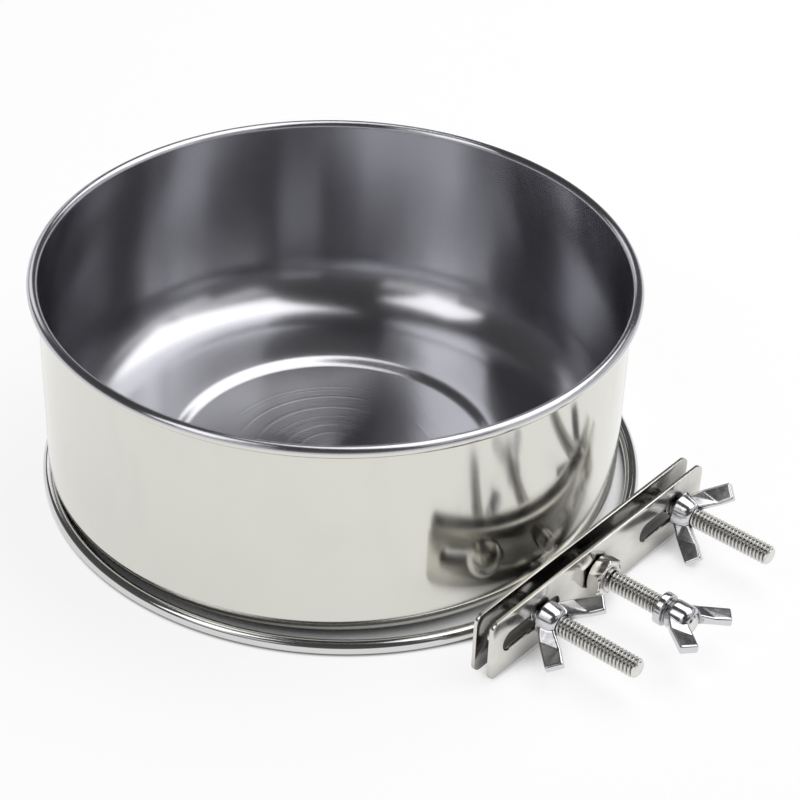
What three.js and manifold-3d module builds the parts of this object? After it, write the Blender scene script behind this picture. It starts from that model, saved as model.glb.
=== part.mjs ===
// Clamp-on steel feeder bowl: a pressed bowl with a rolled rim that hangs in a round wire ring.
// The ring is welded to the inner of two slotted plates, and two carriage bolts with wing nuts
// clamp a cage wall between the plates. A wing screw in the middle presses on the bowl's wall.
// Millimetres, +Z up. The origin is the middle of the bowl's underside, the clamp points to -Y.

import * as THREE from 'three';
import { mergeVertices } from 'three/addons/utils/BufferGeometryUtils.js';
import Module from 'manifold-3d';

// Bowl
const WALL_RADIUS = 91.1;
const RIM_OVERHANG = 2.9;
const BOWL_HEIGHT = 73;
const BOWL_SHEET = 0.7;
const BOWL_CORNER_RADIUS = 8;
const CURL_MOUTH = 0.4;
const FLOOR_LIFT = 1.5;
const DISC_RADIUS = 55;
const DISC_SLOPE_RUN = 4.5;

// Ring and where it stands, drawn by the clamp against the round of the bowl's foot
const WIRE_DIAMETER = 4.4;
const RING_CLEARANCE = 0.4;
const HOLDER_X = 1.4;
const HOLDER_Y = -2.5;
const WELD_LENGTH = 16;
const WELD_WIDTH = 2.4;

// Clamp plates
const PLATE_LENGTH = 104;
const PLATE_HEIGHT = 21;
const PLATE_THICKNESS = 1.2;
const PLATE_CORNER_RADIUS = 3;
const PLATE_GROUND_GAP = 1.5;
const PLATE_OPENING = 4.4;
const SLOT_LENGTH = 26.5;
const SLOT_END_WALL = 5.5;

// Quarter-inch fasteners
const SCREW_DIAMETER = 6.35;
const SCREW_CLEARANCE = 0.3;
const SCREW_CHAMFER = 0.8;
const BOLT_LENGTH = 41.5;
const LEFT_BOLT_INSET = 23.8;
const RIGHT_BOLT_INSET = 12.4;
const HEAD_DIAMETER = 14.5;
const HEAD_HEIGHT = 3.5;
const NECK_LENGTH = 3.2;
const NUT_ACROSS_FLATS = 11.1;
const NUT_HEIGHT = 5.6;

// Wing nuts on the bolts
const WING_NUT_HUB_HEIGHT = 8.4;
const WING_NUT_BASE_DIAMETER = 11.8;
const WING_NUT_TOP_DIAMETER = 9.4;
const WING_NUT_REACH = 12.2;
const WING_NUT_RISE = 13.2;
const WING_ROOT_RISE = 3.6;
const WING_WIDTH = 6;
const WING_THICKNESS = 2.8;
const LEFT_WING_ANGLE = 23.7;
const RIGHT_WING_ANGLE = 44.7;

// Wing screw that presses on the bowl
const STUD_X = -1.8;
const STUD_START_GAP = 3.3;
const STUD_LENGTH = 46;
const JACK_HUB_HEIGHT = 11.4;
const JACK_HUB_DIAMETER = 10.4;
const JACK_COLLAR_DIAMETER = 8.8;
const JACK_COLLAR_HEIGHT = 1.8;
const JACK_WING_REACH = 10.7;
const JACK_WING_RISE = 17;
const JACK_WING_ROOT_RISE = 6;
const JACK_WING_ANGLE = -4.2;

// A rigid seat keeps this much room between two solids
const SEAT_GAP = 0.3;

// Facets of the round shapes
const BOWL_SIDES = 64;
const RING_SIDES = 80;
const WIRE_SIDES = 12;
const HEAD_SIDES = 36;
const SCREW_SIDES = 24;

// Sizes that follow from the ones above
const screwRadius = SCREW_DIAMETER / 2;
const boreRadius = screwRadius + SCREW_CLEARANCE;
const slotWidth = SCREW_DIAMETER + 2 * SCREW_CLEARANCE;
const screwHeight = PLATE_GROUND_GAP + PLATE_HEIGHT / 2;
const slotStart = PLATE_LENGTH / 2 - SLOT_END_WALL - SLOT_LENGTH;
const wireRadius = WIRE_DIAMETER / 2;
const ringRadius = WALL_RADIUS + RING_CLEARANCE + wireRadius;
const innerPlateStart = ringRadius + wireRadius + SEAT_GAP;
const outerPlateStart = innerPlateStart + PLATE_THICKNESS + PLATE_OPENING;
const outerPlateEnd = outerPlateStart + PLATE_THICKNESS;
const studStart = WALL_RADIUS + STUD_START_GAP + HOLDER_Y;

const wasm = await Module();
wasm.setup();

// A closed three.js geometry as a solid that can be joined and cut
function toSolid(geometry) {
  const bare = geometry.clone();
  bare.deleteAttribute('normal');
  bare.deleteAttribute('uv');
  const merged = mergeVertices(bare, 1e-4);
  const mesh = new wasm.Mesh({
    numProp: 3,
    vertProperties: new Float32Array(merged.attributes.position.array),
    triVerts: new Uint32Array(merged.index.array),
  });
  return new wasm.Manifold(mesh);
}

function toGeometry(solid) {
  const mesh = solid.getMesh();
  const geometry = new THREE.BufferGeometry();
  geometry.setAttribute('position', new THREE.BufferAttribute(new Float32Array(mesh.vertProperties), 3));
  geometry.setIndex(new THREE.BufferAttribute(new Uint32Array(mesh.triVerts), 1));
  geometry.computeVertexNormals();
  return geometry;
}

// A profile of [radius, height] points turned round the Z axis
function turned(profile, sides) {
  const points = profile.map(([radius, height]) => new THREE.Vector2(radius, height));
  return new THREE.LatheGeometry(points, sides).rotateX(Math.PI / 2);
}

// Points of an arc in a turned profile, angles in degrees from the outward radius
function arc(centreRadius, centreHeight, radius, fromDegrees, toDegrees, steps) {
  return Array.from({ length: steps + 1 }, (_, step) => {
    const angle = THREE.MathUtils.degToRad(fromDegrees + ((toDegrees - fromDegrees) * step) / steps);
    return [centreRadius + radius * Math.cos(angle), centreHeight + radius * Math.sin(angle)];
  });
}

// The step from the standing disc up to the ring of floor round it, as a smooth S
function discStep(lift, steps) {
  return Array.from({ length: steps + 1 }, (_, step) => {
    const share = step / steps;
    const rise = (1 - Math.cos(Math.PI * share)) / 2;
    return [DISC_RADIUS + DISC_SLOPE_RUN * share, lift + FLOOR_LIFT * rise];
  });
}

// Bowl: one sheet pressed to a straight wall, with its edge curled outwards into the rim
function bowlGeometry() {
  const innerWall = WALL_RADIUS - BOWL_SHEET;
  const rimRadius = WALL_RADIUS + RIM_OVERHANG;
  const curlRadius = (rimRadius - innerWall) / 2;
  const curlInside = curlRadius - BOWL_SHEET;
  const curlCentre = rimRadius - curlRadius;
  const curlHeight = BOWL_HEIGHT - curlRadius;
  const mouthReach = (WALL_RADIUS + CURL_MOUTH - curlCentre) / curlRadius;
  const curlEnd = -THREE.MathUtils.radToDeg(Math.acos(mouthReach));
  const cornerCentre = WALL_RADIUS - BOWL_CORNER_RADIUS;
  const cornerHeight = FLOOR_LIFT + BOWL_CORNER_RADIUS;
  const insideCorner = BOWL_CORNER_RADIUS - BOWL_SHEET;
  const profile = [
    [0, 0],
    ...discStep(0, 5),
    ...arc(cornerCentre, cornerHeight, BOWL_CORNER_RADIUS, -90, 0, 6),
    ...arc(curlCentre, curlHeight, curlInside, 180, curlEnd, 10),
    ...arc(curlCentre, curlHeight, curlRadius, curlEnd, 180, 13),
    ...arc(cornerCentre, cornerHeight, insideCorner, 0, -90, 6),
    ...discStep(BOWL_SHEET, 5).reverse(),
    [0, BOWL_SHEET],
  ];
  return turned(profile, BOWL_SIDES);
}

// Ring: a closed hoop of wire, with the run of weld that holds it to the inner plate
function ringGeometry() {
  const hoop = toSolid(new THREE.TorusGeometry(ringRadius, wireRadius, WIRE_SIDES, RING_SIDES));
  const weldFace = ringRadius + wireRadius;
  const weldHeight = wireRadius * 0.75;
  const weld = new THREE.SphereGeometry(1, 16, 12);
  weld.scale(WELD_LENGTH / 2, WELD_WIDTH, WELD_WIDTH / 2);
  weld.translate(0, -weldFace, weldHeight);
  const behindPlate = new THREE.BoxGeometry(2 * WELD_LENGTH, 2 * WELD_WIDTH, 2 * WIRE_DIAMETER);
  behindPlate.translate(0, -weldFace - WELD_WIDTH, 0);
  return toGeometry(hoop.add(toSolid(weld).subtract(toSolid(behindPlate))));
}

function roundedRectangle(length, height, radius) {
  const x = length / 2 - radius;
  const y = height / 2 - radius;
  const shape = new THREE.Shape();
  shape.absarc(x, y, radius, 0, Math.PI / 2);
  shape.absarc(-x, y, radius, Math.PI / 2, Math.PI);
  shape.absarc(-x, -y, radius, Math.PI, 1.5 * Math.PI);
  shape.absarc(x, -y, radius, 1.5 * Math.PI, 2 * Math.PI);
  return shape;
}

// A slot with round ends, lengthwise on the plate
function slotHole(start, length, width) {
  const radius = width / 2;
  const hole = new THREE.Path();
  hole.absarc(start + length - radius, 0, radius, -Math.PI / 2, Math.PI / 2);
  hole.absarc(start + radius, 0, radius, Math.PI / 2, 1.5 * Math.PI);
  return hole;
}

// Clamp plate: a flat bar with a slot for each bolt and a hole for the wing screw
function plateGeometry() {
  const shape = roundedRectangle(PLATE_LENGTH, PLATE_HEIGHT, PLATE_CORNER_RADIUS);
  const screwHole = new THREE.Path();
  screwHole.absarc(STUD_X, 0, boreRadius, 0, 2 * Math.PI);
  shape.holes.push(slotHole(slotStart, SLOT_LENGTH, slotWidth));
  shape.holes.push(slotHole(-slotStart - SLOT_LENGTH, SLOT_LENGTH, slotWidth));
  shape.holes.push(screwHole);
  return new THREE.ExtrudeGeometry(shape, {
    depth: PLATE_THICKNESS,
    bevelEnabled: false,
    curveSegments: 8,
  });
}

// Hexagon nut with both faces chamfered, standing on the plate from 0 upwards
function nutGeometry() {
  const cornerRadius = NUT_ACROSS_FLATS / Math.sqrt(3);
  const faceRadius = (NUT_ACROSS_FLATS / 2) * 0.95;
  const chamfer = (cornerRadius - faceRadius) * Math.tan(Math.PI / 6);
  const prism = new THREE.CylinderGeometry(cornerRadius, cornerRadius, NUT_HEIGHT, 6);
  prism.rotateX(Math.PI / 2).rotateZ(Math.PI / 6).translate(0, 0, NUT_HEIGHT / 2);
  const rounding = turned(
    [
      [0, 0],
      [faceRadius, 0],
      [cornerRadius, chamfer],
      [cornerRadius, NUT_HEIGHT - chamfer],
      [faceRadius, NUT_HEIGHT],
      [0, NUT_HEIGHT],
    ],
    HEAD_SIDES,
  );
  return toGeometry(toSolid(prism).intersect(toSolid(rounding)).subtract(bore(NUT_HEIGHT)));
}

// The threaded bore as a plain hole, through a piece that stands from 0 to height
function bore(height) {
  const hole = new THREE.CylinderGeometry(boreRadius, boreRadius, 2 * height, SCREW_SIDES);
  hole.rotateX(Math.PI / 2).translate(0, 0, height / 2);
  return toSolid(hole);
}

// Screw shank with chamfered ends, from one height to another
function shank(from, to) {
  return turned(
    [
      [0, from],
      [screwRadius - SCREW_CHAMFER, from],
      [screwRadius, from + SCREW_CHAMFER],
      [screwRadius, to - SCREW_CHAMFER],
      [screwRadius - SCREW_CHAMFER, to],
      [0, to],
    ],
    SCREW_SIDES,
  );
}

// Carriage bolt: domed head below 0, square neck and shank above
function boltGeometry() {
  const headRadius = HEAD_DIAMETER / 2;
  const domeRadius = (headRadius ** 2 + HEAD_HEIGHT ** 2) / (2 * HEAD_HEIGHT);
  const domeAngle = THREE.MathUtils.radToDeg(Math.asin(headRadius / domeRadius));
  const domeCentre = domeRadius - HEAD_HEIGHT;
  const dome = arc(0, domeCentre, domeRadius, -90, -90 + domeAngle, 6);
  dome[0][0] = 0;
  const head = turned([...dome, [0, 0]], HEAD_SIDES);
  const neck = new THREE.BoxGeometry(SCREW_DIAMETER, SCREW_DIAMETER, NECK_LENGTH + SCREW_CHAMFER);
  neck.translate(0, 0, (NECK_LENGTH - SCREW_CHAMFER) / 2);
  const rod = shank(-SCREW_CHAMFER, BOLT_LENGTH);
  return toGeometry(toSolid(head).add(toSolid(neck)).add(toSolid(rod)));
}

// One wing: bars of changing width and thickness along a line that leans out from the hub
function wingGeometry(rootRise, reach, rise) {
  const rootReach = screwRadius;
  const lean = new THREE.Vector2(reach - rootReach, rise - rootRise).normalize();
  const stations = [
    { along: 0, width: 0.7, thickness: 1.2 },
    { along: 0.3, width: 0.85, thickness: 1.02 },
    { along: 0.6, width: 1, thickness: 0.86 },
    { along: 0.88, width: 1, thickness: 1 },
    { along: 0.97, width: 0.9, thickness: 0.94 },
    { along: 1, width: 0.72, thickness: 0.7 },
  ];
  const corner = 0.22;
  const outline = [
    [1, corner], [1 - corner, 1], [corner - 1, 1], [-1, corner],
    [-1, -corner], [corner - 1, -1], [1 - corner, -1], [1, -corner],
  ];
  const positions = [];
  for (const { along, width, thickness } of stations) {
    const middleReach = rootReach + (reach - rootReach) * along;
    const middleRise = rootRise + (rise - rootRise) * along;
    for (const [across, through] of outline) {
      const shift = (across * width * WING_WIDTH) / 2;
      positions.push(
        middleReach + shift * lean.y,
        (through * thickness * WING_THICKNESS) / 2,
        middleRise - shift * lean.x,
      );
    }
  }
  return lofted(positions, stations.length, outline.length);
}

// A closed skin over rings of points, with a flat cap on the first and the last ring
function lofted(positions, rings, sides) {
  const index = [];
  for (let ring = 0; ring < rings - 1; ring += 1) {
    for (let side = 0; side < sides; side += 1) {
      const here = ring * sides + side;
      const next = ring * sides + ((side + 1) % sides);
      index.push(here, next, here + sides);
      index.push(next, next + sides, here + sides);
    }
  }
  const last = (rings - 1) * sides;
  for (let side = 1; side < sides - 1; side += 1) {
    index.push(0, side + 1, side);
    index.push(last, last + side, last + side + 1);
  }
  const geometry = new THREE.BufferGeometry();
  geometry.setAttribute('position', new THREE.Float32BufferAttribute(positions, 3));
  geometry.setIndex(index);
  return geometry;
}

// Hub and two wings, bored through
function wingPiece(hubProfile, hubHeight, rootRise, reach, rise) {
  const wing = toSolid(wingGeometry(rootRise, reach, rise));
  const hub = toSolid(turned(hubProfile, HEAD_SIDES));
  return toGeometry(hub.add(wing).add(wing.rotate([0, 0, 180])).subtract(bore(hubHeight)));
}

function wingNutGeometry() {
  const baseRadius = WING_NUT_BASE_DIAMETER / 2;
  const topRadius = WING_NUT_TOP_DIAMETER / 2;
  const shoulder = 1.6;
  const hub = [
    [0, 0],
    [baseRadius - SCREW_CHAMFER, 0],
    [baseRadius, SCREW_CHAMFER],
    ...arc(topRadius - shoulder, WING_NUT_HUB_HEIGHT - shoulder, shoulder, 0, 90, 4),
    [0, WING_NUT_HUB_HEIGHT],
  ];
  return wingPiece(hub, WING_NUT_HUB_HEIGHT, WING_ROOT_RISE, WING_NUT_REACH, WING_NUT_RISE);
}

function jackWingGeometry() {
  const hubRadius = JACK_HUB_DIAMETER / 2;
  const collarRadius = JACK_COLLAR_DIAMETER / 2;
  const rounding = 1.8;
  const hub = [
    [0, 0],
    [collarRadius, 0],
    [collarRadius, JACK_COLLAR_HEIGHT],
    ...arc(hubRadius - rounding, JACK_COLLAR_HEIGHT + rounding, rounding, -60, 0, 3),
    ...arc(hubRadius - rounding, JACK_HUB_HEIGHT - rounding, rounding, 0, 90, 4),
    [0, JACK_HUB_HEIGHT],
  ];
  return wingPiece(hub, JACK_HUB_HEIGHT, JACK_WING_ROOT_RISE, JACK_WING_REACH, JACK_WING_RISE);
}

// Finishes
const brushedSteel = new THREE.MeshStandardMaterial({ color: 0x9b9ca0, roughness: 0.3, metalness: 1 });
const brightWire = new THREE.MeshStandardMaterial({ color: 0xc9c8c4, roughness: 0.1, metalness: 1 });
const plateSteel = new THREE.MeshStandardMaterial({ color: 0xc2bdb4, roughness: 0.2, metalness: 1 });
const platedScrews = new THREE.MeshStandardMaterial({ color: 0xb9b8b2, roughness: 0.22, metalness: 1 });
const platedWings = new THREE.MeshStandardMaterial({ color: 0xa9aab0, roughness: 0.12, metalness: 1 });

function piece(name, geometry, material, parent) {
  const mesh = new THREE.Mesh(geometry, material);
  mesh.name = name;
  parent.add(mesh);
  return mesh;
}

const feeder = new THREE.Group();
piece('bowl', bowlGeometry(), brushedSteel, feeder);

const holder = new THREE.Group();
holder.position.set(HOLDER_X, HOLDER_Y, 0);
feeder.add(holder);
const ring = piece('ring_wire', ringGeometry(), brightWire, holder);
ring.position.z = wireRadius;

// In the clamp, +Z is the way out of the bowl, +X runs along the plates and +Y is up
const clamp = new THREE.Group();
clamp.position.z = screwHeight;
clamp.rotation.x = Math.PI / 2;
holder.add(clamp);

const innerPlate = piece('inner_plate', plateGeometry(), plateSteel, clamp);
innerPlate.position.z = innerPlateStart;
const outerPlate = piece('outer_plate', plateGeometry(), plateSteel, clamp);
outerPlate.position.z = outerPlateStart;

const jackNut = piece('jack_nut', nutGeometry(), platedScrews, clamp);
jackNut.position.set(STUD_X, 0, outerPlateEnd + SEAT_GAP);

const sides = [
  { side: 'left', x: LEFT_BOLT_INSET - PLATE_LENGTH / 2, wingAngle: LEFT_WING_ANGLE },
  { side: 'right', x: PLATE_LENGTH / 2 - RIGHT_BOLT_INSET, wingAngle: RIGHT_WING_ANGLE },
];
for (const { side, x, wingAngle } of sides) {
  const bolt = piece(`${side}_carriage_bolt`, boltGeometry(), platedScrews, clamp);
  bolt.position.set(x, 0, innerPlateStart - SEAT_GAP);
  const nut = piece(`${side}_wing_nut`, wingNutGeometry(), platedWings, clamp);
  nut.position.set(x, 0, outerPlateEnd + SEAT_GAP);
  nut.rotation.z = THREE.MathUtils.degToRad(wingAngle);
}

const stud = piece('jack_stud', shank(0, STUD_LENGTH), platedScrews, clamp);
stud.position.set(STUD_X, 0, studStart);
const jackWing = piece('jack_wing', jackWingGeometry(), platedWings, clamp);
jackWing.position.set(STUD_X, 0, studStart + STUD_LENGTH - JACK_HUB_HEIGHT);
jackWing.rotation.z = THREE.MathUtils.degToRad(JACK_WING_ANGLE);

export default feeder;
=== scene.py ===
"""Looks of a clamp-on steel feeder bowl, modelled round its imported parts.

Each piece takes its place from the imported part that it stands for. Lengths are in metres, +Z is up and
the clamp points to -Y.
"""

import math

import bpy
from bpy.props import FloatProperty, FloatVectorProperty, PointerProperty
from mathutils import Matrix, Vector


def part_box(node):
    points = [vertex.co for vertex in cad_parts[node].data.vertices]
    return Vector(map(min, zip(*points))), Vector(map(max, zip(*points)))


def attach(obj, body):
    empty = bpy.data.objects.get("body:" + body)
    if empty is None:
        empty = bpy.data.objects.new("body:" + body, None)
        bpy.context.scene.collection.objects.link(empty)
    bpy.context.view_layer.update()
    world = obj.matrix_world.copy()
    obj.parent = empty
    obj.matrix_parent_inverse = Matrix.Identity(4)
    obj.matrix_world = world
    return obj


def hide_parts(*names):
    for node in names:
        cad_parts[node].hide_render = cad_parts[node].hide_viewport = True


bl_info = {
    "name": "Clamp-On Feeder Bowl",
    "version": (1, 0, 0),
    "blender": (4, 5, 0),
    "location": "3D View > Sidebar > Feeder Bowl",
    "description": "Models a steel feeder bowl with its ring holder and cage clamp",
    "category": "Mesh",
}

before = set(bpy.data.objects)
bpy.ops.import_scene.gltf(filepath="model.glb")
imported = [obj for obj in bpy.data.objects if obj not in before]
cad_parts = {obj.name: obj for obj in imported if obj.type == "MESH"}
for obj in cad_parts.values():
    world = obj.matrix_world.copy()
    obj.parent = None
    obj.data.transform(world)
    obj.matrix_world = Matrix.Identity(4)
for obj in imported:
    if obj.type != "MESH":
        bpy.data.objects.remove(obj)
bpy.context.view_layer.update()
MM = 0.001

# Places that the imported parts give
_, BOWL_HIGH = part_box("bowl")
RING_LOW, RING_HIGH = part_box("ring_wire")
STUD_LOW, STUD_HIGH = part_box("jack_stud")
STUD_X = (STUD_LOW.x + STUD_HIGH.x) / 2
SCREW_HEIGHT = (STUD_LOW.z + STUD_HIGH.z) / 2


# Sizes and colours that a user would change


def length(name, description, default):
    """A length that a user can set."""
    return FloatProperty(name=name, description=description, default=default, min=0, unit="LENGTH")


def share(name, description, default):
    """A value from 0 to 1."""
    return FloatProperty(
        name=name, description=description, default=default, min=0, max=1, subtype="FACTOR"
    )


def tint(name, description, default):
    """A colour."""
    return FloatVectorProperty(
        name=name, description=description, default=default, size=3, min=0, max=1, subtype="COLOR"
    )


class BowlSizes(bpy.types.PropertyGroup):
    """Section of the pressed bowl"""

    rim_radius: length("Rim Radius", "Outside of the rolled rim", BOWL_HIGH.x)
    height: length("Height", "From the standing face to the top of the rim", BOWL_HIGH.z)
    wall_radius: length("Wall Radius", "Outside of the straight wall", 91.1 * MM)
    sheet: length("Sheet", "Thickness of the steel", 0.7 * MM)
    corner: length("Corner", "Outside radius where the wall meets the floor", 8 * MM)
    inside_corner: length("Inside Corner", "Radius inside, where the wall meets the floor", 18 * MM)
    curl_mouth: length("Curl Mouth", "Gap between the rolled edge and the wall", 0.4 * MM)
    floor_lift: length("Floor Lift", "Height of the floor over the standing disc", 1.5 * MM)
    disc_radius: length("Disc Radius", "Edge of the flat standing disc", 55 * MM)
    disc_slope: length("Disc Slope", "Width of the step round the disc", 4.5 * MM)
    step_foot: length("Step Foot", "Edge of the flat disc inside", 49.8 * MM)
    step_slope: length("Step Slope", "Width of the slope round the disc inside", 4.7 * MM)
    step_lip: length("Step Lip", "Edge of the shallow lip over the slope", 57.5 * MM)
    step_depth: length("Step Depth", "Fall of the slope round the disc inside", 1.7 * MM)
    lip_drop: length("Lip Drop", "Fall of the lip towards the slope", 0.2 * MM)


class HolderSizes(bpy.types.PropertyGroup):
    """Ring and clamp plates"""

    wire: length("Wire", "Diameter of the ring's wire", 4.4 * MM)
    weld_length: length("Weld Length", "Run of weld between ring and plate", 16 * MM)
    weld_size: length("Weld Size", "Thickness of the weld", 2.4 * MM)
    plate_corner: length("Plate Corner", "Corner radius of the plates", 3 * MM)
    plate_edge: length("Plate Edge", "Rounding of the plates' edges", 0.4 * MM)
    slot_length: length("Slot Length", "Length of each slot", 26.5 * MM)
    slot_start: length("Slot Start", "From the plate's middle to the slot", 20 * MM)
    hole_room: length("Hole Room", "Room round a screw in its hole", 0.3 * MM)


class FastenerSizes(bpy.types.PropertyGroup):
    """Quarter-inch screws and what runs on them"""

    screw: length("Screw", "Outside diameter of the threads", 6.35 * MM)
    pitch: length("Pitch", "Distance from one thread to the next", 1.27 * MM)
    chamfer: length("Chamfer", "Bevel on a screw's end", 0.8 * MM)
    head: length("Head", "Diameter of a bolt's head", 14.5 * MM)
    head_height: length("Head Height", "Height of a bolt's domed head", 3.5 * MM)
    neck: length("Neck", "Length of the square neck", 3.2 * MM)
    nut_flats: length("Nut Flats", "Width of the hexagon nut", 11.1 * MM)
    wing_width: length("Wing Width", "Width of a wing", 6 * MM)
    wing_thickness: length("Wing Thickness", "Thickness of a wing", 2.8 * MM)


class FinishValues(bpy.types.PropertyGroup):
    """Colours of the steel"""

    satin: tint("Spun Satin", "Inside of the bowl", (0.60, 0.60, 0.63))
    polished: tint("Polished Wall", "Outside of the bowl", (0.70, 0.69, 0.64))
    wire: tint("Wire", "Ring", (0.70, 0.70, 0.69))
    plate: tint("Plates", "Clamp plates", (0.72, 0.70, 0.66))
    screw: tint("Screws", "Bolts, stud and hexagon nut", (0.73, 0.72, 0.69))
    wing: tint("Wings", "Wing nuts and wing head", (0.68, 0.68, 0.70))
    satin_roughness: share("Satin Roughness", "Roughness of the bowl's inside", 0.185)


class StageValues(bpy.types.PropertyGroup):
    """Camera and light"""

    lens: FloatProperty(name="Lens", description="Focal length in millimetres", default=99, min=10)
    roll: FloatProperty(
        name="Roll",
        description="Turn of the camera about its view",
        default=math.radians(2.257),
        subtype="ANGLE",
    )


# Modelling steps

# Points closer than this become one
MERGE = 1e-6


def deselect():
    """Leaves edit mode and selects nothing, so that the next step acts on its own piece alone."""
    if bpy.context.object is not None and bpy.context.object.mode != "OBJECT":
        bpy.ops.object.mode_set(mode="OBJECT")
    bpy.ops.object.select_all(action="DESELECT")


def only(piece):
    """Selects the piece alone and makes it the active one."""
    deselect()
    piece.select_set(True)
    bpy.context.view_layer.objects.active = piece


def named(name):
    """Names the piece that was just added, and its mesh."""
    piece = bpy.context.object
    piece.name = name
    piece.data.name = name
    return piece


def finish_place(piece):
    """Moves the piece's place into its mesh."""
    only(piece)
    bpy.ops.object.transform_apply(location=True, rotation=True, scale=True)


def modify(piece, kind, **settings):
    """Adds a modifier and applies it."""
    modifier = piece.modifiers.new(kind.title(), kind)
    for key, value in settings.items():
        setattr(modifier, key, value)
    only(piece)
    bpy.ops.object.modifier_apply(modifier=modifier.name)


def round_edges(piece, width, degrees, segments=3):
    """Rounds the edges where faces meet at more than an angle."""
    modify(
        piece,
        "BEVEL",
        width=width,
        segments=segments,
        limit_method="ANGLE",
        angle_limit=math.radians(degrees),
    )


def combine(piece, other, operation):
    """Joins, cuts or trims the piece with another closed mesh, which is used up."""
    modify(piece, "BOOLEAN", object=other, operation=operation, solver="EXACT")
    mesh = other.data
    bpy.data.objects.remove(other)
    bpy.data.meshes.remove(mesh)


def choose(piece, kind, test):
    """Opens the piece in edit mode with the parts selected that pass the test."""
    only(piece)
    mesh = piece.data
    for items in (mesh.vertices, mesh.edges, mesh.polygons):
        items.foreach_set("select", [False] * len(items))
    parts = {"VERT": mesh.vertices, "EDGE": mesh.edges, "FACE": mesh.polygons}[kind]
    for part in parts:
        part.select = test(part)
    bpy.context.tool_settings.mesh_select_mode = (kind == "VERT", kind == "EDGE", kind == "FACE")
    bpy.ops.object.mode_set(mode="EDIT")


def edges_along(piece, axis):
    """A test for the edges that run along an axis, 0 for X, 1 for Y, 2 for Z."""
    points = piece.data.vertices
    nearly = 0.99

    def runs_along(edge):
        run = points[edge.vertices[1]].co - points[edge.vertices[0]].co
        return abs(run[axis]) > nearly * run.length

    return runs_along


def draw_section(name, points):
    """Draws an open line point by point in the XZ plane."""
    deselect()
    bpy.ops.mesh.primitive_plane_add(size=MM, location=(0, 0, 0))
    piece = named(name)
    bpy.context.tool_settings.mesh_select_mode = (True, False, False)
    bpy.ops.object.mode_set(mode="EDIT")
    bpy.ops.mesh.select_all(action="SELECT")
    bpy.ops.mesh.merge(type="CENTER")
    bpy.ops.transform.translate(value=(points[0][0], 0, points[0][1]))
    place = points[0]
    for point in points[1:]:
        step = (point[0] - place[0], 0, point[1] - place[1])
        bpy.ops.mesh.extrude_region_move(TRANSFORM_OT_translate={"value": step})
        place = point
    return piece


def turned(name, points, steps):
    """Spins a section of (radius, height) points, which starts and ends on the axis, round Z."""
    piece = draw_section(name, points)
    bpy.ops.mesh.select_all(action="SELECT")
    bpy.ops.mesh.spin(steps=steps, angle=math.tau, center=(0, 0, 0), axis=(0, 0, 1))
    bpy.ops.mesh.select_all(action="SELECT")
    bpy.ops.mesh.remove_doubles(threshold=MERGE)
    bpy.ops.mesh.normals_make_consistent(inside=False)
    bpy.ops.object.mode_set(mode="OBJECT")
    return piece


def arc(centre, radius, start, end, steps):
    """Points of an arc in a section, with angles in degrees from the outward radius."""
    angles = [math.radians(start + (end - start) * step / steps) for step in range(steps + 1)]
    x, z = centre
    return [(x + radius * math.cos(angle), z + radius * math.sin(angle)) for angle in angles]


def block(name, low, high):
    """A box between two corners."""
    deselect()
    bpy.ops.mesh.primitive_cube_add(size=1, location=(low + high) / 2, scale=high - low)
    piece = named(name)
    finish_place(piece)
    return piece


def copied(pattern, name):
    """A copy of a piece, with a mesh of its own."""
    piece = bpy.data.objects.new(name, pattern.data.copy())
    bpy.context.scene.collection.objects.link(piece)
    return piece


def smooth(piece, degrees):
    """Shades the piece smooth, with a sharp edge where its faces meet at more than an angle."""
    only(piece)
    bpy.ops.object.shade_smooth_by_angle(angle=math.radians(degrees), keep_sharp_edges=False)


def out_of_clamp(piece, x, y, turn=0.0):
    """Stands a piece that was made on Z along the clamp's way out, from y outwards."""
    piece.matrix_world = (
        Matrix.Translation((x, y, SCREW_HEIGHT))
        @ Matrix.Rotation(math.pi / 2, 4, "X")
        @ Matrix.Rotation(turn, 4, "Z")
    )
    finish_place(piece)


def dress(piece, node, body, slot, *materials):
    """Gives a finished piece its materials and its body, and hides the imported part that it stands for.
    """
    piece.data.materials.clear()
    for material in materials:
        piece.data.materials.append(material)
    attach(piece, body)
    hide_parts(node)


# Finishes


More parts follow.
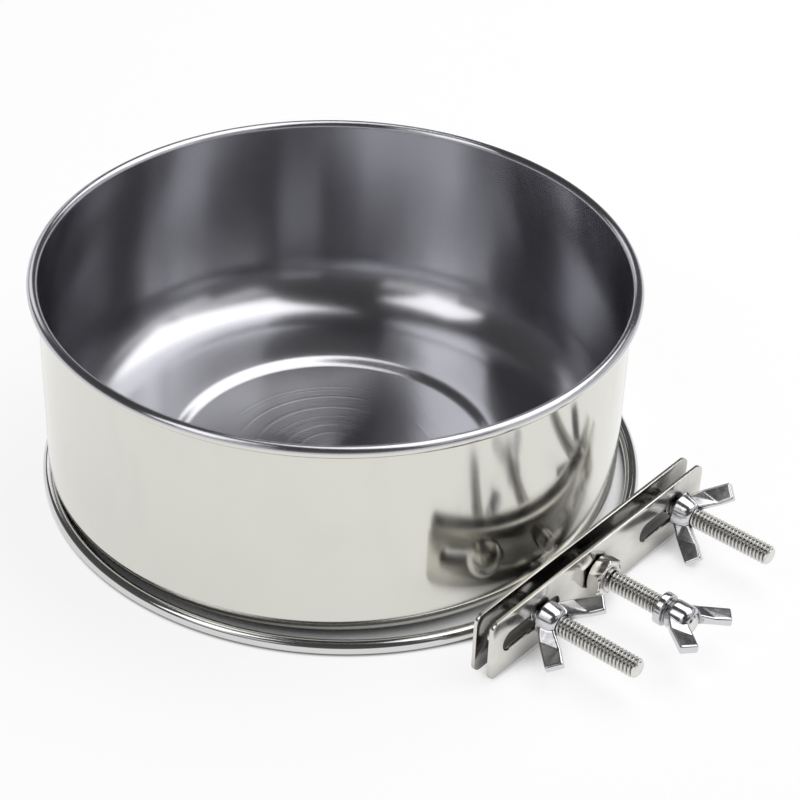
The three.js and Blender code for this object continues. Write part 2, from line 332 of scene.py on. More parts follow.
class Finish:
    """A metal material that is built up from nodes on the piece's own coordinates."""

    def __init__(self, name, colour, roughness):
        self.material = bpy.data.materials.new(name)
        self.material.use_nodes = True
        self.tree = self.material.node_tree
        self.shader = self.tree.nodes["Principled BSDF"]
        self.shader.inputs["Metallic"].default_value = 1
        self.shader.inputs["Base Color"].default_value = (*colour, 1)
        self.shader.inputs["Roughness"].default_value = roughness
        self.colour = colour
        self.place = self.node("ShaderNodeTexCoord").outputs["Object"]
        self.bumps = None
        self.radius = None

    def node(self, kind, **settings):
        """Adds a node."""
        made = self.tree.nodes.new(kind)
        for key, value in settings.items():
            setattr(made, key, value)
        return made

    def link(self, output, socket):
        """Joins an output to a socket."""
        self.tree.links.new(output, socket)

    def noise(self, place, scale, detail=2.0, stretch=(1, 1, 1), distortion=0.0):
        """Noise from 0 to 1, with scale blotches to a metre."""
        mapping = self.node("ShaderNodeMapping")
        mapping.inputs["Scale"].default_value = stretch
        self.link(place, mapping.inputs["Vector"])
        made = self.node("ShaderNodeTexNoise")
        made.inputs["Scale"].default_value = scale
        made.inputs["Detail"].default_value = detail
        made.inputs["Distortion"].default_value = distortion
        self.link(mapping.outputs["Vector"], made.inputs["Vector"])
        return made.outputs["Fac"]

    def spread(self, value, low, high, start=0.3, end=0.7):
        """Stretches noise to run from low to high."""
        made = self.node("ShaderNodeMapRange")
        for socket, number in (("From Min", start), ("From Max", end), ("To Min", low), ("To Max", high)):
            made.inputs[socket].default_value = number
        self.link(value, made.inputs["Value"])
        return made.outputs["Result"]

    def vary_roughness(self, value, low, high):
        """Runs the roughness from low to high with noise."""
        self.link(self.spread(value, low, high), self.shader.inputs["Roughness"])

    def vary_colour(self, value, other):
        """Runs the colour from its own to another where the value rises."""
        mix = self.node("ShaderNodeMix", data_type="RGBA")
        mix.inputs["A"].default_value = (*self.colour, 1)
        mix.inputs["B"].default_value = (*other, 1)
        self.link(value, mix.inputs["Factor"])
        self.link(mix.outputs["Result"], self.shader.inputs["Base Color"])

    def paint_gap_shade(self, reach):
        """Paints shade into the colour in gaps and grooves, where other steel stands closer than the
        reach.
        """
        colour = self.shader.inputs["Base Color"]
        made = self.node("ShaderNodeAmbientOcclusion", samples=8)
        made.inputs["Distance"].default_value = reach
        self.link(colour.links[0].from_socket, made.inputs["Color"])
        self.link(made.outputs["Color"], colour)

    def draw_out(self, amount):
        """Draws highlights out across the rings of a piece that was turned on Z."""
        quarter_turn = 0.25
        self.shader.inputs["Anisotropic"].default_value = amount
        self.shader.inputs["Anisotropic Rotation"].default_value = quarter_turn

    def bump(self, value, depth):
        """Adds relief of a depth in metres."""
        made = self.node("ShaderNodeBump")
        made.inputs["Strength"].default_value = 1
        made.inputs["Distance"].default_value = depth
        self.link(value, made.inputs["Height"])
        if self.bumps is not None:
            self.link(self.bumps, made.inputs["Normal"])
        self.bumps = made.outputs["Normal"]
        self.link(self.bumps, self.shader.inputs["Normal"])

    def rings(self):
        """Coordinates that are the same all the way round the Z axis."""
        parts = self.node("ShaderNodeSeparateXYZ")
        self.link(self.place, parts.inputs["Vector"])
        flat = self.node("ShaderNodeCombineXYZ")
        self.link(parts.outputs["X"], flat.inputs["X"])
        self.link(parts.outputs["Y"], flat.inputs["Y"])
        radius = self.node("ShaderNodeVectorMath", operation="LENGTH")
        self.link(flat.outputs["Vector"], radius.inputs[0])
        self.radius = radius.outputs["Value"]
        ring = self.node("ShaderNodeCombineXYZ")
        self.link(self.radius, ring.inputs["X"])
        self.link(parts.outputs["Z"], ring.inputs["Z"])
        return ring.outputs["Vector"]


def darker(colour, factor):
    """The colour with each channel brought down."""
    return tuple(channel * factor for channel in colour)


def satin_steel(values):
    """Inside of the bowl: spun, with fine rings, and highlights drawn out across them."""
    finish = Finish("spun_satin_steel", values.satin, values.satin_roughness)
    rings = finish.rings()
    smears = finish.noise(finish.place, scale=30, detail=3, distortion=0.5)
    change = 0.012
    finish.vary_roughness(smears, values.satin_roughness - change, values.satin_roughness + change)
    finish.vary_colour(finish.noise(rings, scale=900, detail=2), darker(values.satin, factor=0.94))
    finish.bump(finish.noise(rings, scale=2600, detail=2), depth=4e-7)

    # Tool marks on the disc, which fade out before its edge
    last_mark, fade_end = 38 * MM, 46 * MM
    lines = finish.spread(finish.noise(rings, scale=700, detail=0), 0, 1, start=0.5, end=0.72)
    marks = finish.node("ShaderNodeMath", operation="MULTIPLY")
    finish.link(lines, marks.inputs[0])
    finish.link(finish.spread(finish.radius, 1, 0, start=last_mark, end=fade_end), marks.inputs[1])
    finish.bump(marks.outputs["Value"], depth=2e-5)
    finish.draw_out(0.95)
    return finish.material


def polished_steel(values):
    """Outside of the bowl: mirror bright, slightly wavy, with faint smears."""
    finish = Finish("polished_wall_steel", values.polished, roughness=0.12)
    smears = finish.noise(finish.place, scale=55, detail=4, stretch=(1, 1, 0.6), distortion=0.6)
    finish.vary_roughness(smears, low=0.09, high=0.15)
    finish.draw_out(0.5)
    stains = finish.spread(smears, 0, 1, start=0.5, end=0.8)
    finish.vary_colour(stains, darker(values.polished, factor=0.97))
    finish.bump(finish.noise(finish.place, scale=22, detail=1), depth=6e-5)
    return finish.material


def wire_steel(values):
    """Ring: drawn wire, bright, with faint lines along it."""
    finish = Finish("bright_wire_steel", values.wire, roughness=0.12)
    lines = finish.noise(finish.rings(), scale=1500, detail=2)
    finish.vary_roughness(lines, low=0.10, high=0.16)
    finish.bump(lines, depth=3e-6)
    finish.vary_colour(finish.noise(finish.place, scale=90, detail=3), darker(values.wire, factor=0.93))
    return finish.material


def plate_steel(values):
    """Clamp plates: soft polish with faint smears and small pits, with painted shade in the gap between
    them.
    """
    finish = Finish("soft_polished_plate_steel", values.plate, roughness=0.17)
    smears = finish.noise(finish.place, scale=160, detail=4, distortion=0.4)
    finish.vary_roughness(smears, low=0.13, high=0.22)
    stains = finish.spread(smears, 0, 1, start=0.45, end=0.8)
    finish.vary_colour(stains, darker(values.plate, factor=0.94))
    # Painted shade: ambient occlusion darkens the colour in the gap between the plates and round the nuts.
    finish.paint_gap_shade(reach=10 * MM)
    finish.bump(finish.noise(finish.place, scale=120, detail=2), depth=3e-5)
    finish.bump(finish.noise(finish.place, scale=3000, detail=2), depth=2e-6)
    return finish.material


def screw_steel(values):
    """Bolts, stud and hexagon nut: bright plating, with painted shade in the roots of the threads."""
    finish = Finish("plated_screw_steel", values.screw, roughness=0.16)
    spots = finish.noise(finish.place, scale=700, detail=3)
    finish.vary_roughness(spots, low=0.12, high=0.22)
    stains = finish.spread(spots, 0, 1, start=0.5, end=0.85)
    finish.vary_colour(stains, darker(values.screw, factor=0.85))
    # Painted shade: ambient occlusion darkens the colour in the roots of the threads and round the nut.
    finish.paint_gap_shade(reach=1 * MM)
    finish.bump(finish.noise(finish.place, scale=1800, detail=2), depth=4e-6)
    return finish.material


def wing_steel(values):
    """Wing pieces: plated forging with a faint orange peel."""
    finish = Finish("plated_forged_steel", values.wing, roughness=0.12)
    peel = finish.noise(finish.place, scale=420, detail=2)
    finish.vary_roughness(peel, low=0.12, high=0.19)
    finish.bump(peel, depth=1.6e-5)
    finish.vary_colour(finish.noise(finish.place, scale=200, detail=3), darker(values.wing, factor=0.94))
    # Painted shade: ambient occlusion darkens the colour in the creases where the wings meet the hub.
    finish.paint_gap_shade(reach=2 * MM)
    return finish.material


# Pieces

# Steps in each rounded slope of the bowl, and how far its foot and lip are rounded
SLOPE_STEPS = 14
SLOPE_EASE = 0.065


def slope(start, width, low, rise):
    """Points of a slope that climbs outwards, rounded at its foot and its lip."""
    shares = [step / SLOPE_STEPS for step in range(SLOPE_STEPS + 1)]
    eased = [along - SLOPE_EASE * math.sin(math.tau * along) for along in shares]
    return [(start + width * along, low + rise * up) for along, up in zip(shares, eased)]


def bowl_section(sizes):
    """The sheet's outline, up the outside, round the rolled rim and down the inside."""
    inner_wall = sizes.wall_radius - sizes.sheet
    curl = (sizes.rim_radius - inner_wall) / 2
    curl_middle = (sizes.rim_radius - curl, sizes.height - curl)
    mouth = sizes.wall_radius + sizes.curl_mouth - curl_middle[0]
    curl_end = -math.degrees(math.acos(mouth / curl))
    corner_middle = (sizes.wall_radius - sizes.corner, sizes.floor_lift + sizes.corner)

    inside_floor = sizes.sheet + sizes.step_depth + sizes.lip_drop
    inside_middle = (inner_wall - sizes.inside_corner, inside_floor + sizes.inside_corner)
    return [
        (0, 0),
        *slope(sizes.disc_radius, sizes.disc_slope, 0, sizes.floor_lift),
        *arc(corner_middle, sizes.corner, -90, 0, steps=20),
        *arc(curl_middle, curl - sizes.sheet, 180, curl_end, steps=28),
        *arc(curl_middle, curl, curl_end, 180, steps=36),
        *arc(inside_middle, sizes.inside_corner, 0, -90, steps=32),
        (sizes.step_lip, inside_floor),
        *reversed(slope(sizes.step_foot, sizes.step_slope, sizes.sheet, sizes.step_depth)),
        (0, sizes.sheet),
    ]


class FEEDER_OT_bowl(bpy.types.Operator):
    """Presses the bowl from one sheet"""

    bl_idname = "feeder.bowl"
    bl_label = "Bowl"

    def execute(self, context):
        scene = context.scene
        sizes = scene.feeder_bowl
        finish = scene.feeder_finish
        bowl = turned("pressed_bowl", bowl_section(sizes), steps=224)
        dress(bowl, "bowl", "bowl", "bowl_steel", polished_steel(finish), satin_steel(finish))

        # The inside and the top of the rim are satin, and the rest is polished
        inside = sizes.wall_radius - sizes.sheet / 2
        floor_rise, rim_rise = 0.01, 0.2
        for face in bowl.data.polygons:
            out = Vector((face.center.x, face.center.y, 0))
            faces_in = face.normal.z > floor_rise or face.normal.dot(out) < 0
            on_rim = face.normal.z > rim_rise and face.center.z > sizes.height / 2
            face.material_index = int(on_rim or (faces_in and out.length < inside))
        smooth(bowl, degrees=40)
        return {"FINISHED"}


# Middle of the weld, in radii of the wire: out from the wire's middle line, and up from the floor
WELD_OUT = 0.86
WELD_UP = 1.75
# Width and height of the weld, as shares of its size
WELD_WIDTH = 0.75
WELD_HEIGHT = 0.9
# Distance between the weld's ripples, and their depth
WELD_RIPPLE = 1.2 * MM
WELD_RELIEF = 0.25 * MM


class FEEDER_OT_ring(bpy.types.Operator):
    """Bends the wire ring and welds it to the inner plate"""

    bl_idname = "feeder.ring"
    bl_label = "Ring"

    def execute(self, context):
        scene = context.scene
        sizes = scene.feeder_holder
        wire = sizes.wire / 2
        middle_x = (RING_LOW.x + RING_HIGH.x) / 2
        middle_radius = (RING_HIGH.x - RING_LOW.x) / 2 - wire
        middle_y = RING_HIGH.y - wire - middle_radius
        deselect()
        bpy.ops.mesh.primitive_torus_add(
            major_segments=256,
            minor_segments=32,
            major_radius=middle_radius,
            minor_radius=wire,
            location=(middle_x, middle_y, wire),
        )
        ring = named("wire_ring")
        finish_place(ring)
        deselect()
        bpy.ops.mesh.primitive_uv_sphere_add(
            segments=64,
            ring_count=32,
            radius=0.5,
            location=(middle_x, middle_y - middle_radius - wire * WELD_OUT, wire * WELD_UP),
            scale=(sizes.weld_length, sizes.weld_size * WELD_WIDTH, sizes.weld_size * WELD_HEIGHT),
        )
        weld = named("weld")
        finish_place(weld)
        ripple = bpy.data.textures.new("weld_ripple", "CLOUDS")
        ripple.noise_scale = WELD_RIPPLE
        modify(weld, "DISPLACE", texture=ripple, strength=WELD_RELIEF, texture_coords="LOCAL")
        combine(ring, weld, "UNION")
        smooth(ring, degrees=50)
        dress(ring, "ring_wire", "holder", "wire_steel", wire_steel(scene.feeder_finish))
        return {"FINISHED"}


def clamp_plate(name, node, sizes, fasteners):
    """A flat bar with rounded corners and edges, a slot for each bolt and a hole for the stud."""
    low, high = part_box(node)
    plate = block(name, low, high)
    choose(plate, "EDGE", edges_along(plate, 1))
    bpy.ops.mesh.bevel(offset=sizes.plate_corner, segments=12, affect="EDGES")
    middle = (low + high) / 2
    hole = fasteners.screw / 2 + sizes.hole_room
    nearly_round = 0.999
    for side in (-1, 1):
        near, far = sizes.slot_start, sizes.slot_start + sizes.slot_length
        ends = sorted((middle.x + side * near, middle.x + side * far))
        slot = block(
            "slot",
            Vector((ends[0], low.y - MM, SCREW_HEIGHT - hole)),
            Vector((ends[1], high.y + MM, SCREW_HEIGHT + hole)),
        )
        choose(slot, "EDGE", edges_along(slot, 1))
        bpy.ops.mesh.bevel(offset=hole * nearly_round, segments=14, affect="EDGES")
        bpy.ops.object.mode_set(mode="OBJECT")
        combine(plate, slot, "DIFFERENCE")
    deselect()
    bpy.ops.mesh.primitive_cylinder_add(
        vertices=56,
        radius=hole,
        depth=4 * (high.y - low.y),
        location=(STUD_X, middle.y, SCREW_HEIGHT),
        rotation=(math.pi / 2, 0, 0),
    )
    drill = named("drill")
    finish_place(drill)
    combine(plate, drill, "DIFFERENCE")
    round_edges(plate, sizes.plate_edge, degrees=50, segments=4)
    smooth(plate, degrees=50)
    return plate


class FEEDER_OT_plates(bpy.types.Operator):
    """Cuts the two slotted clamp plates"""

    bl_idname = "feeder.plates"
    bl_label = "Clamp Plates"

    def execute(self, context):
        scene = context.scene
        steel = plate_steel(scene.feeder_finish)
        for node, body in (("inner_plate", "holder"), ("outer_plate", "outer_clamp")):
            plate = clamp_plate("slotted_" + node, node, scene.feeder_holder, scene.feeder_fasteners)
            dress(plate, node, body, "plate_steel", steel)
        return {"FINISHED"}


# Section of the thread, in shares of its pitch: its depth, the rounding of its crest, and where along it
# the flat root ends, the flank ends, the flat crest starts and ends, and the next flank starts
THREAD_DEPTH = 0.6
CREST_ROUNDING = 0.04
THREAD_PLACES = (0.14, 0.46, 0.52, 0.62, 0.68)


def thread(name, start, end, sizes):
    """A rod on Z with a rolled thread and a chamfer at each end."""
    spare_turns = 2
    pitch = sizes.pitch
    crest = sizes.screw / 2
    root = crest - THREAD_DEPTH * pitch
    shoulder = crest - CREST_ROUNDING * pitch
    root_end, flank_end, crest_start, crest_end, flank_start = (place * pitch for place in THREAD_PLACES)
    profile = [
        (root, 0),
        (root, root_end),
        (shoulder, flank_end),
        (crest, crest_start),
        (crest, crest_end),
        (shoulder, flank_start),
        (root, pitch),
    ]
    rod = draw_section(name, profile)
    bpy.ops.object.mode_set(mode="OBJECT")
    turns = math.ceil((end - start) / pitch) + 2 * spare_turns
    modify(
        rod,
        "SCREW",
        angle=math.tau,
        screw_offset=pitch,
        iterations=turns,
        steps=40,
        render_steps=40,
        use_merge_vertices=True,
        merge_threshold=MERGE,
    )
    rod.location.z = start - spare_turns * pitch
    finish_place(rod)
    for height, way in ((start, -1), (end, 1)):
        choose(rod, "VERT", lambda vertex: True)
        bpy.ops.mesh.bisect(
            plane_co=(0, 0, height),
            plane_no=(0, 0, way),
            use_fill=True,
            clear_outer=True,
            threshold=MERGE / 10,
        )
    bpy.ops.mesh.select_all(action="SELECT")
    bpy.ops.mesh.remove_doubles(threshold=MERGE)
    bpy.ops.mesh.normals_make_consistent(inside=False)
    bpy.ops.object.mode_set(mode="OBJECT")
    room = 0.2 * MM
    wide = crest + room
    narrow = crest - sizes.chamfer
    bevel = sizes.chamfer + room
    envelope = [
        (0, start),
        (narrow, start),
        (wide, start + bevel),
        (wide, end - bevel),
        (narrow, end),
        (0, end),
    ]
    combine(rod, turned("envelope", envelope, steps=48), "INTERSECT")
    return rod


def carriage_bolt(name, length_over_all, sizes):
    """Domed head below zero, square neck and threaded shank above."""
    head = sizes.head / 2
    dome = (head**2 + sizes.head_height**2) / (2 * sizes.head_height)
    lip = 0.35 * MM
    dome_share = 0.985
    neck_edge = 0.5 * MM
    overlap = 0.4 * MM
    swing = math.degrees(math.asin(head / dome))
    section = arc((0, dome - sizes.head_height), dome, -90, -90 + swing * dome_share, steps=24)
    section[0] = (0, -sizes.head_height)
    section += [(head, -lip), (head - lip, 0), (0, 0)]
    bolt = turned(name, section, steps=72)
    half = sizes.screw / 2
    neck = block("neck", Vector((-half, -half, -lip)), Vector((half, half, sizes.neck)))
    choose(neck, "EDGE", edges_along(neck, 2))
    bpy.ops.mesh.bevel(offset=neck_edge, segments=3, affect="EDGES")
    bpy.ops.object.mode_set(mode="OBJECT")
    combine(bolt, neck, "UNION")
    combine(bolt, thread("shank", sizes.neck - overlap, length_over_all, sizes), "UNION")
    smooth(bolt, degrees=35)
    return bolt


class FEEDER_OT_bolts(bpy.types.Operator):
    """Turns one carriage bolt and copies it to both sides"""

    bl_idname = "feeder.bolts"
    bl_label = "Carriage Bolts"

    def execute(self, context):
        scene = context.scene
        sizes = scene.feeder_fasteners
        steel = screw_steel(scene.feeder_finish)
        low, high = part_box("left_carriage_bolt")
        pattern = carriage_bolt("bolt_pattern", high.y - low.y - sizes.head_height, sizes)
        for side in ("left", "right"):
            low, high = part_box(side + "_carriage_bolt")
            bolt = copied(pattern, side + "_bolt")
            out_of_clamp(bolt, (low.x + high.x) / 2, high.y - sizes.head_height)
            dress(bolt, side + "_carriage_bolt", "holder", "screw_steel", steel)
        bpy.data.objects.remove(pattern)
        return {"FINISHED"}


class FEEDER_OT_stud(bpy.types.Operator):
    """Rolls the stud that presses on the bowl"""

    bl_idname = "feeder.stud"
    bl_label = "Jack Stud"

    def execute(self, context):
        scene = context.scene
        stud = thread("threaded_stud", 0, STUD_HIGH.y - STUD_LOW.y, scene.feeder_fasteners)
        smooth(stud, degrees=35)
        out_of_clamp(stud, STUD_X, STUD_HIGH.y)
        dress(stud, "jack_stud", "jack_stud", "screw_steel", screw_steel(scene.feeder_finish))
        return {"FINISHED"}


def bore(height, sizes):
    """What is cut out of a nut that stands from zero to its height."""
    room = 0.08 * MM
    countersink = 0.45 * MM
    hole = sizes.screw / 2 + room
    mouth = hole + countersink
    section = [
        (0, -MM),
        (mouth, -MM),
        (mouth, 0),
        (hole, countersink),
        (hole, height - countersink),
        (mouth, height),
        (mouth, height + MM),
        (0, height + MM),
    ]
    return turned("bore", section, steps=56)


# Height of the hexagon nut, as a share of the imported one, and how far it is turned
NUT_SHARE = 0.8
NUT_TURN = math.radians(30)
# Flat round of its ends, as a share of its width, and the slant and rounding of its corners
NUT_FACE = 0.95
NUT_SLANT = math.radians(30)
NUT_EDGE = 0.3 * MM


class FEEDER_OT_nut(bpy.types.Operator):
    """Cuts the hexagon nut on the outer plate"""

    bl_idname = "feeder.nut"
    bl_label = "Hexagon Nut"

    def execute(self, context):
        scene = context.scene
        sizes = scene.feeder_fasteners
        low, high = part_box("jack_nut")
        height = (high.y - low.y) * NUT_SHARE
        corner = sizes.nut_flats / math.sqrt(3)
        face = sizes.nut_flats / 2 * NUT_FACE
        rise = (corner - face) * math.tan(NUT_SLANT)
        deselect()
        bpy.ops.mesh.primitive_cylinder_add(
            vertices=6,
            radius=corner,
            depth=height,
            location=(0, 0, height / 2),
            rotation=(0, 0, math.pi / 6),
        )
        nut = named("hexagon_nut")
        finish_place(nut)
        section = [(0, 0), (face, 0), (corner, rise), (corner, height - rise), (face, height), (0, height)]
        combine(nut, turned("chamfers", section, steps=96), "INTERSECT")
        combine(nut, bore(height, sizes), "DIFFERENCE")
        round_edges(nut, NUT_EDGE, degrees=20)
        smooth(nut, degrees=35)
        out_of_clamp(nut, (low.x + high.x) / 2, high.y, NUT_TURN)
        dress(nut, "jack_nut", "outer_clamp", "screw_steel", screw_steel(scene.feeder_finish))
        return {"FINISHED"}


# Place and slant of the crease across a wing, as shares of the wing's run
CREASE_PLACE = 0.5
CREASE_SLANT = 0.17
# A corner less than this many slants short of the tip is one of the tip's own
TIP_REACH = 1.5
# Thickness and width where a wing differs from its size: at its root, its crease and its tip
ROOT_THICKNESS = 1.5
ROOT_WIDTH = 0.75
CREASE_THICKNESS = 0.85
TIP_WIDTH = 0.94
WING_EDGE = 0.5 * MM

# How far each wing piece is turned on its screw
LEFT_WING_TURN = math.radians(23.7)
RIGHT_WING_TURN = math.radians(44.7)
JACK_WING_TURN = math.radians(-4.2)


def wing(root, tip, sizes):
    """One wing: a bar that leans out from root to tip, with a slanting crease across its faces."""
    run = tip - root
    width = sizes.wing_width / 2
    thick = sizes.wing_thickness / 2
    crease = CREASE_PLACE * run.length
    slant = CREASE_SLANT * run.length
    tip_start = run.length - TIP_REACH * slant
    mostly = 0.5
    root_thick = thick * ROOT_THICKNESS
    root_width = width * ROOT_WIDTH
    bar = block("wing", Vector((0, -root_thick, -root_width)), Vector((crease, root_thick, root_width)))
    for vertex in bar.data.vertices:
        if vertex.co.x > crease / 2:
            upper = vertex.co.z > 0
            vertex.co.x += slant if upper else -slant
            vertex.co.y = math.copysign(thick * CREASE_THICKNESS, vertex.co.y)
            vertex.co.z = math.copysign(width, vertex.co.z)
    choose(bar, "FACE", lambda face: face.normal.x > mostly)
    bpy.ops.mesh.extrude_region_move(TRANSFORM_OT_translate={"value": (run.length - crease, 0, 0)})
    bpy.ops.object.mode_set(mode="OBJECT")
    for vertex in bar.data.vertices:
        if vertex.co.x > tip_start:
            vertex.co.x = run.length
            vertex.co.y = math.copysign(thick, vertex.co.y)
            vertex.co.z = math.copysign(width * TIP_WIDTH, vertex.co.z)
    round_edges(bar, WING_EDGE, degrees=40)
    lean = math.atan2(run.z, run.x)
    bar.matrix_world = Matrix.Translation(root) @ Matrix.Rotation(-lean, 4, "Y")
    finish_place(bar)
    return bar


def wing_piece(name, hub_section, height, root, tip, sizes):
    """A forged hub with two wings, bored through."""
    voxel = 0.17 * MM
    hub = turned(name, hub_section, steps=72)
    for half_turn in (0, math.pi):
        bar = wing(root, tip, sizes)
        bar.matrix_world = Matrix.Rotation(half_turn, 4, "Z")
        finish_place(bar)
        combine(hub, bar, "UNION")
    modify(hub, "REMESH", mode="VOXEL", voxel_size=voxel, adaptivity=0)
    modify(hub, "SMOOTH", factor=0.5, iterations=16)
    combine(hub, bore(height, sizes), "DIFFERENCE")
    smooth(hub, degrees=60)
    return hub


class FEEDER_OT_wing_nuts(bpy.types.Operator):
    """Forges the wing nuts on both bolts"""

    bl_idname = "feeder.wing_nuts"
    bl_label = "Wing Nuts"

    def execute(self, context):
        scene = context.scene
        sizes = scene.feeder_fasteners
        steel = wing_steel(scene.feeder_finish)
        height = 6.8 * MM
        base, top, shoulder, foot_edge = 5.2 * MM, 4.5 * MM, 2.4 * MM, 0.8 * MM
        section = [
            (0, 0),
            (base - foot_edge, 0),
            (base, foot_edge),
            *arc((top - shoulder, height - shoulder), shoulder, start=10, end=90, steps=8),
            (0, height),
        ]
        root = Vector((sizes.screw / 2, 0, 3.2 * MM))
        tip = Vector((12.4 * MM, 0, 13.4 * MM))
        pattern = wing_piece("wing_pattern", section, height, root, tip, sizes)
        for side, turn in (("left", LEFT_WING_TURN), ("right", RIGHT_WING_TURN)):
            bolt_low, bolt_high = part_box(side + "_carriage_bolt")
            _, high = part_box(side + "_wing_nut")
            nut = copied(pattern, "forged_" + side + "_wing_nut")
            out_of_clamp(nut, (bolt_low.x + bolt_high.x) / 2, high.y, turn)
            dress(nut, side + "_wing_nut", side + "_wing_nut", "wing_steel", steel)
        bpy.data.objects.remove(pattern)
        return {"FINISHED"}


class FEEDER_OT_jack_wing(bpy.types.Operator):
    """Forges the wing head of the stud"""

    bl_idname = "feeder.jack_wing"
    bl_label = "Wing Head"

    def execute(self, context):
        scene = context.scene
        sizes = scene.feeder_fasteners
        _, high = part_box("jack_wing")
        height = 11.4 * MM
        hub, collar, collar_height, rounding = 4.7 * MM, 5.1 * MM, 2.4 * MM, 2.6 * MM
        section = [
            (0, 0),
            (collar, 0),
            (collar, collar_height),
            *arc((hub - rounding, collar_height + rounding), rounding, -60, 0, steps=8),
            *arc((hub - rounding, height - rounding), rounding, 0, 90, steps=8),
            (0, height),
        ]
        root = Vector((sizes.screw / 3, 0, 6 * MM))
        tip = Vector((10.9 * MM, 0, 17.2 * MM))
        head = wing_piece("forged_wing_head", section, height, root, tip, sizes)
        out_of_clamp(head, STUD_X, high.y, JACK_WING_TURN)
        dress(head, "jack_wing", "jack_wing", "wing_steel", wing_steel(scene.feeder_finish))
        return {"FINISHED"}


# Stage

CAMERA_PLACE = Vector((-0.4269, -0.3778, 0.4321))
CAMERA_AIM = Vector((0.0062, -0.0219, 0.0300))
LIGHT_DISTANCE = 1.3

# Grey of the floor under the lamps, what makes it white, and how far the shade round the object reaches
FLOOR_GREY = 0.25
FLOOR_GLOW = 0.82
SHADE_REACH = 16 * MM
# Share of open sky over a place on the floor, where it is darkest and where it is white
SHADE_DARKEST = 0.15
SHADE_END = 0.5

# Brightness of the sky round the object, by the sine of its height angle
SKY = ((0.0, 1.0), (0.13, 0.95), (0.2, 0.25), (0.3, 0.09), (1.0, 0.06))
SKY_BLUE = 1.04

# Name, compass angle from -Y towards +X, height angle, width and height as angles, brightness
LIGHTS = (
    ("back_softbox", 74, 64, 58, 44, 2.0),
    ("left_softbox", -105, 52, 24, 32, 1.7),
    ("front_reflector", 8, 42, 34, 16, 0.6),
    ("low_reflector", 160, 30, 26, 16, 1.1),
    ("right_reflector", 45, 28, 66, 16, 0.7),
    ("left_reflector", -86, 30, 30, 16, 0.6),
)


def direction(compass, height):
    """The way to a point of the sky, by its compass angle from -Y towards +X and its height."""
    turn, rise = math.radians(compass), math.radians(height)
    return Vector((math.sin(turn) * math.cos(rise), -math.cos(turn) * math.cos(rise), math.sin(rise)))


def add_light(name, compass, height, wide, tall, brightness):
    """A soft rectangle of light that faces the bowl."""
    deselect()
    way = direction(compass, height)
    bpy.ops.object.light_add(type="AREA", location=way * LIGHT_DISTANCE)
    lamp = bpy.context.object
    lamp.name = name
    lamp.rotation_euler = way.to_track_quat("Z", "Y").to_euler()
    lamp.data.shape = "RECTANGLE"
    lamp.data.size = 2 * LIGHT_DISTANCE * math.tan(math.radians(wide) / 2)
    lamp.data.size_y = 2 * LIGHT_DISTANCE * math.tan(math.radians(tall) / 2)
    lamp.data.energy = brightness * math.pi * lamp.data.size * lamp.data.size_y


def add_floor():
    """A floor that is white, also where the steel mirrors it, and keeps the object's shadow."""
    deselect()
    bpy.ops.mesh.primitive_plane_add(size=12, location=(0, 0, 0))
    floor = named("floor")
    choose(floor, "FACE", lambda face: True)
    bpy.ops.mesh.subdivide(number_cuts=4)
    bpy.ops.object.mode_set(mode="OBJECT")
    material = bpy.data.materials.new("white_floor")
    material.use_nodes = True
    material.cycles.emission_sampling = "NONE"
    tree = material.node_tree
    tree.nodes.clear()
    matt = tree.nodes.new("ShaderNodeBsdfDiffuse")
    matt.inputs["Color"].default_value = (FLOOR_GREY, FLOOR_GREY, FLOOR_GREY, 1)
    shade = tree.nodes.new("ShaderNodeAmbientOcclusion")
    shade.inputs["Distance"].default_value = SHADE_REACH
    level = tree.nodes.new("ShaderNodeMapRange")
    level.inputs["From Min"].default_value = SHADE_DARKEST
    level.inputs["From Max"].default_value = SHADE_END
    level.inputs["To Max"].default_value = FLOOR_GLOW
    glow = tree.nodes.new("ShaderNodeEmission")
    glow.inputs["Color"].default_value = (1, 1, 1, 1)
    both = tree.nodes.new("ShaderNodeAddShader")
    output = tree.nodes.new("ShaderNodeOutputMaterial")
    tree.links.new(shade.outputs["AO"], level.inputs["Value"])
    tree.links.new(level.outputs["Result"], glow.inputs["Strength"])
    tree.links.new(matt.outputs[0], both.inputs[0])
    tree.links.new(glow.outputs[0], both.inputs[1])
    tree.links.new(both.outputs[0], output.inputs["Surface"])
    floor.data.materials.append(material)


def add_sky():
    """White to the camera; round the object a white horizon under a dim studio ceiling."""
    world = bpy.data.worlds.new("studio")
    bpy.context.scene.world = world
    world.use_nodes = True
    tree = world.node_tree
    tree.nodes.clear()
    place = tree.nodes.new("ShaderNodeTexCoord")
    parts = tree.nodes.new("ShaderNodeSeparateXYZ")
    ramp = tree.nodes.new("ShaderNodeValToRGB")
    while len(ramp.color_ramp.elements) < len(SKY):
        ramp.color_ramp.elements.new(0.5)
    for element, (height, grey) in zip(ramp.color_ramp.elements, SKY):
        element.position = height
        element.color = (grey, grey, grey * SKY_BLUE, 1)
    seen = tree.nodes.new("ShaderNodeBackground")
    around = tree.nodes.new("ShaderNodeBackground")
    path = tree.nodes.new("ShaderNodeLightPath")
    mix = tree.nodes.new("ShaderNodeMixShader")
    output = tree.nodes.new("ShaderNodeOutputWorld")
    seen.inputs["Color"].default_value = (1, 1, 1, 1)
    tree.links.new(place.outputs["Generated"], parts.inputs["Vector"])
    tree.links.new(parts.outputs["Z"], ramp.inputs["Fac"])
    tree.links.new(ramp.outputs["Color"], around.inputs["Color"])
    tree.links.new(path.outputs["Is Camera Ray"], mix.inputs["Fac"])
    tree.links.new(around.outputs[0], mix.inputs[1])
    tree.links.new(seen.outputs[0], mix.inputs[2])
    tree.links.new(mix.outputs[0], output.inputs["Surface"])


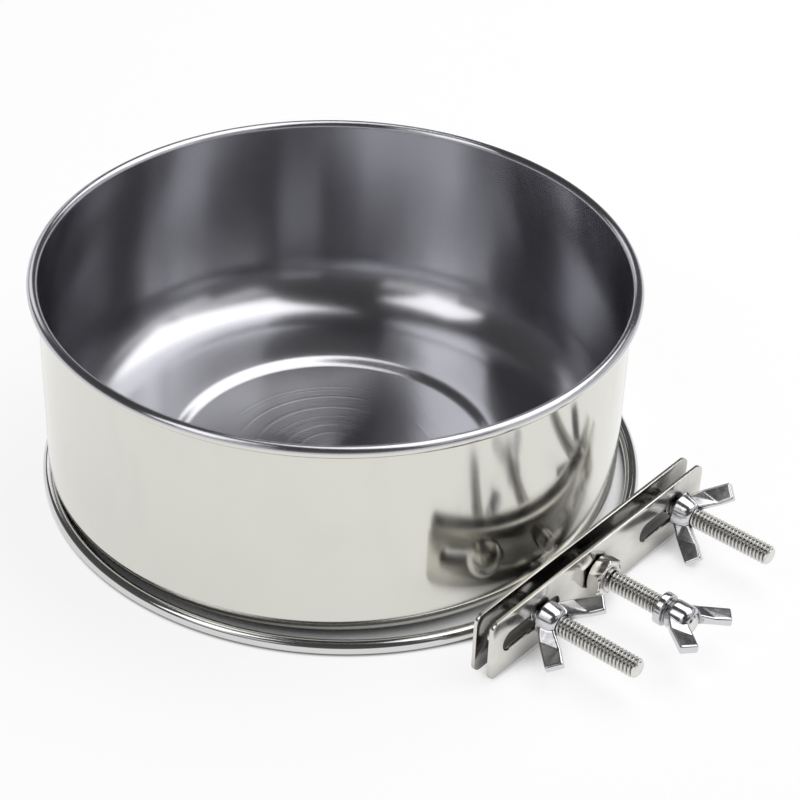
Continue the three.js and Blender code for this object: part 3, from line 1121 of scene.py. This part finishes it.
class FEEDER_OT_stage(bpy.types.Operator):
    """Sets the floor, the sky, the lamps and the camera"""

    bl_idname = "feeder.stage"
    bl_label = "Stage"

    def execute(self, context):
        scene = context.scene
        values = scene.feeder_stage
        add_floor()
        add_sky()
        for light in LIGHTS:
            add_light(*light)
        deselect()
        bpy.ops.object.camera_add(location=CAMERA_PLACE)
        camera = context.object
        camera.name = "camera"
        aim = (CAMERA_AIM - CAMERA_PLACE).to_track_quat("-Z", "Y").to_matrix()
        camera.rotation_euler = (aim @ Matrix.Rotation(values.roll, 3, "Z")).to_euler()
        camera.data.lens = values.lens
        camera.data.sensor_width = 36
        camera.data.clip_start = 0.01
        camera.data.clip_end = 50
        scene.camera = camera
        scene.view_settings.view_transform = "Standard"
        return {"FINISHED"}


class FEEDER_PT_panel(bpy.types.Panel):
    """Lists the steps that make the feeder"""

    bl_idname = "FEEDER_PT_panel"
    bl_label = "Feeder Bowl"
    bl_space_type = "VIEW_3D"
    bl_region_type = "UI"
    bl_category = "Feeder Bowl"

    def draw(self, context):
        for operator in OPERATORS:
            self.layout.operator(operator.bl_idname)


OPERATORS = (
    FEEDER_OT_stage,
    FEEDER_OT_bowl,
    FEEDER_OT_ring,
    FEEDER_OT_plates,
    FEEDER_OT_bolts,
    FEEDER_OT_nut,
    FEEDER_OT_wing_nuts,
    FEEDER_OT_stud,
    FEEDER_OT_jack_wing,
)
GROUPS = {
    "feeder_bowl": BowlSizes,
    "feeder_holder": HolderSizes,
    "feeder_fasteners": FastenerSizes,
    "feeder_finish": FinishValues,
    "feeder_stage": StageValues,
}


def register():
    for cls in (*GROUPS.values(), *OPERATORS, FEEDER_PT_panel):
        bpy.utils.register_class(cls)
    for name, group in GROUPS.items():
        setattr(bpy.types.Scene, name, PointerProperty(type=group))


def unregister():
    for name in GROUPS:
        delattr(bpy.types.Scene, name)
    for cls in reversed((*GROUPS.values(), *OPERATORS, FEEDER_PT_panel)):
        bpy.utils.unregister_class(cls)


def main():
    register()
    for operator in OPERATORS:
        group, name = operator.bl_idname.split(".")
        getattr(getattr(bpy.ops, group), name)()


if __name__ == "__main__":
    main()
